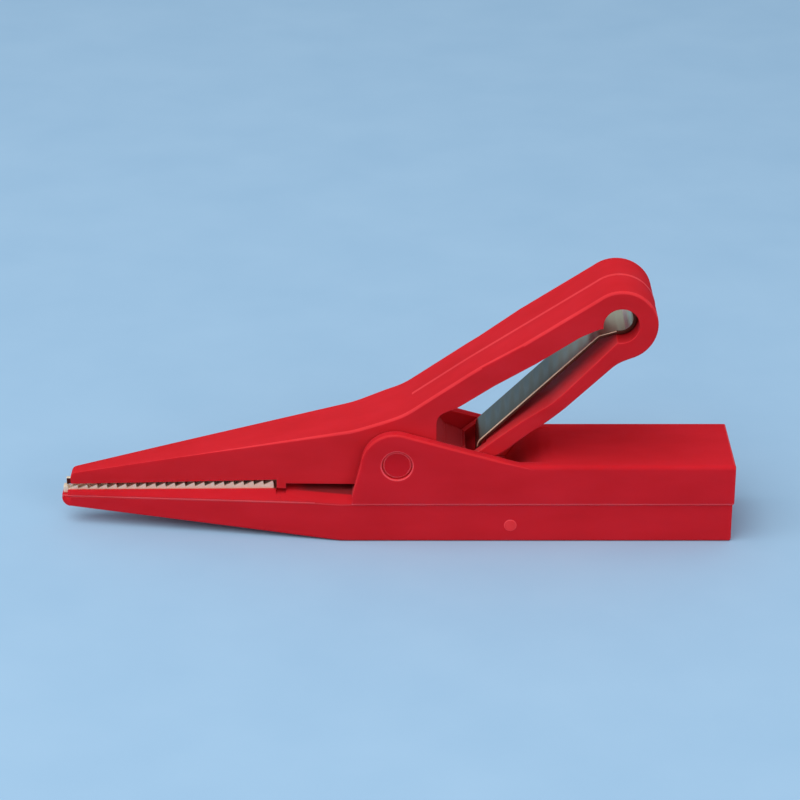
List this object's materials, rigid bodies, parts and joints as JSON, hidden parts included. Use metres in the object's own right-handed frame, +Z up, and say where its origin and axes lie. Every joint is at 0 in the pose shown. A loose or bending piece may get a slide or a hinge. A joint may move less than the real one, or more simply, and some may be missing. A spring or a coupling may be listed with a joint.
{
  "type": "insulated crocodile clip",
  "caption": "Slender insulated crocodile clip: two toothed metal jaws, an open sprung thumb lever on a hinge pin, and a rear socket for a test lead plug.",
  "frame": {"origin": "on the rest face, below the middle of the clip's length and width", "axes": "+X to the rear, where the socket is; the jaws' tip is at -X; Y across, along the hinge pin; +Z up, towards the thumb lever"},
  "size_m": [0.0842, 0.013, 0.0334],
  "materials": {
    "red_plastic": "satin",
    "pin_plastic": "satin",
    "spring_steel": "satin",
    "nickel_plate": "satin",
    "brass": "satin"
  },
  "bodies": {
    "body": {"body_housing": "red_plastic", "bottom_cover": "red_plastic", "lower_jaw_contact": "nickel_plate", "socket_sleeve": "brass", "pivot_pin": "pin_plastic"},
    "lever": {"lever": "red_plastic", "upper_jaw_contact": "nickel_plate", "leaf_spring": "spring_steel"}
  },
  "joints": [
    {"name": "jaw_hinge", "type": "hinge", "parent": "body", "child": "lever", "pos_m": [0.0002, 0, 0.0105], "axis": [0, 1, 0], "range_deg": [0, 14], "stiffness_Nm_per_rad": 1, "springref_deg": -11.46, "deforming": ["leaf_spring"]}
  ]
}
